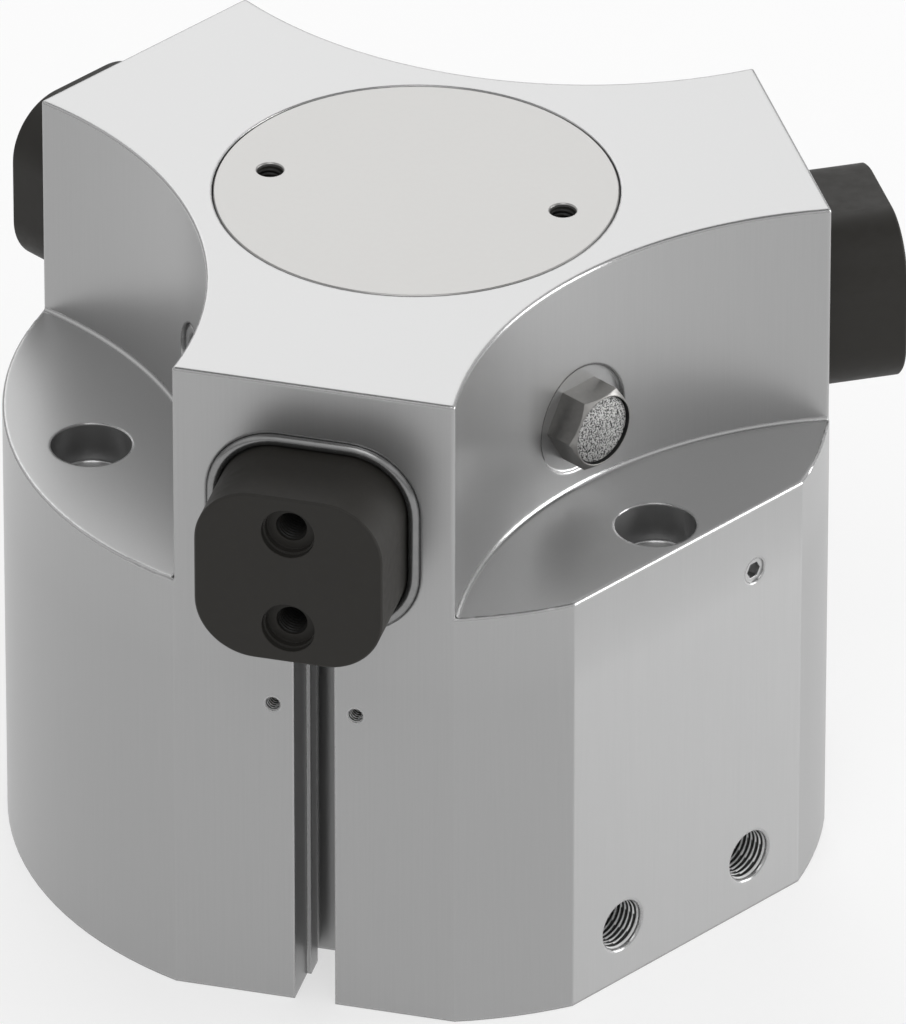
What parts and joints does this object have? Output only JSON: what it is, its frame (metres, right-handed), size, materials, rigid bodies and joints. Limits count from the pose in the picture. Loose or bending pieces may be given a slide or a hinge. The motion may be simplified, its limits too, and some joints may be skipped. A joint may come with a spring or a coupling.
{
  "type": "three-jaw gripper",
  "caption": "Sealed pneumatic gripper with radially sliding jaws on a round body, driven together by a piston and a wedge.",
  "frame": {"origin": "middle of the mounting hole circle, in the plane of the base", "axes": "+Z from the base to the top cover, -Y out of jaw 1, and the port flat faces 30 degrees from +X towards -Y"},
  "size_m": [0.148, 0.1429, 0.1143],
  "materials": {
    "body_aluminium": "satin anodised with a fine brushed grain",
    "cover_aluminium": "turned and satin anodised",
    "jaw_steel": "dark oxide on ground steel",
    "seal_rubber": "smooth black rubber",
    "drive_steel": "hardened and ground",
    "screw_steel": "black oxide",
    "inner_aluminium": "turned",
    "guide_plastic": "moulded",
    "magnet_compound": "plastic-bound magnet powder",
    "bush_bronze": "turned",
    "breather_steel": "satin",
    "sintered_metal": "grainy, pressed from powder"
  },
  "bodies": {
    "body": {"housing": "body_aluminium", "top_cover": "cover_aluminium", "jaw_seal_1": "seal_rubber", "jaw_seal_2": "seal_rubber", "jaw_seal_3": "seal_rubber", "cover_seal": "seal_rubber", "head_seal": "seal_rubber", "end_cap_seal": "seal_rubber", "rod_seal": "seal_rubber", "end_cap_ring": "drive_steel", "head_screws": "screw_steel", "side_plug_1": "screw_steel", "side_plug_2": "screw_steel", "channel_plugs": "screw_steel", "cylinder_head": "inner_aluminium", "end_cap": "inner_aluminium", "rod_bush": "bush_bronze", "breather_body": "breather_steel", "breather_filter": "sintered_metal"},
    "piston": {"piston": "inner_aluminium", "piston_seal": "seal_rubber", "piston_guide_ring": "guide_plastic", "magnet_ring": "magnet_compound", "magnet_retainer": "inner_aluminium", "wedge_driver": "drive_steel", "driver_screw": "screw_steel"},
    "jaw_1": {"jaw_1": "jaw_steel"},
    "jaw_2": {"jaw_2": "jaw_steel"},
    "jaw_3": {"jaw_3": "jaw_steel"}
  },
  "joints": [
    {"name": "piston_slide", "type": "slide", "parent": "body", "child": "piston", "axis": [0, 0, 1], "range_m": [0, 0.02]},
    {"name": "jaw_1_slide", "type": "slide", "parent": "body", "child": "jaw_1", "axis": [0, 1, 0], "range_m": [0, 0.01]},
    {"name": "jaw_2_slide", "type": "slide", "parent": "body", "child": "jaw_2", "axis": [-0.866, -0.5, 0], "range_m": [0, 0.01]},
    {"name": "jaw_3_slide", "type": "slide", "parent": "body", "child": "jaw_3", "axis": [0.866, -0.5, 0], "range_m": [0, 0.01]}
  ],
  "couplings": [
    {"joint": "jaw_1_slide", "follows": "piston_slide", "ratio": 0.5},
    {"joint": "jaw_2_slide", "follows": "piston_slide", "ratio": 0.5},
    {"joint": "jaw_3_slide", "follows": "piston_slide", "ratio": 0.5}
  ]
}
